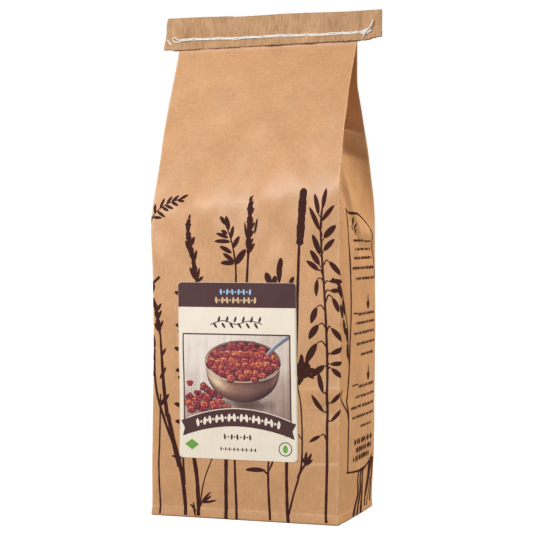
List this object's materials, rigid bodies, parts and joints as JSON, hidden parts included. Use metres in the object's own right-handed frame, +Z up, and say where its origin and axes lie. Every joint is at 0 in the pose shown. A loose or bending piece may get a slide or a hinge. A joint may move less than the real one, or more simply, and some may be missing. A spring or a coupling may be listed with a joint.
{
  "type": "gusseted kraft paper bag, sewn shut",
  "caption": "Gusseted kraft paper bag with a square base, filled with dried fruit, its gathered mouth sewn shut through a folded crepe tape, and a stuck-on front label.",
  "frame": {"origin": "middle of the flat base, on the surface the bag stands on", "axes": "+Z up along the bag, +X across the front panel to the right of someone facing it, front panel facing -Y"},
  "size_m": [0.185, 0.1045, 0.405],
  "materials": {
    "kraft_paper": "matte",
    "dried_fruit": "satin",
    "crepe_tape": "matte",
    "cotton_thread": "matte",
    "label_paper": "satin"
  },
  "bodies": {
    "root": {"outer_sack": "kraft_paper", "berry_fill": "dried_fruit", "closure_tape": "crepe_tape", "looper_thread": "cotton_thread", "needle_thread": "cotton_thread", "front_label": "label_paper"}
  },
  "joints": []
}
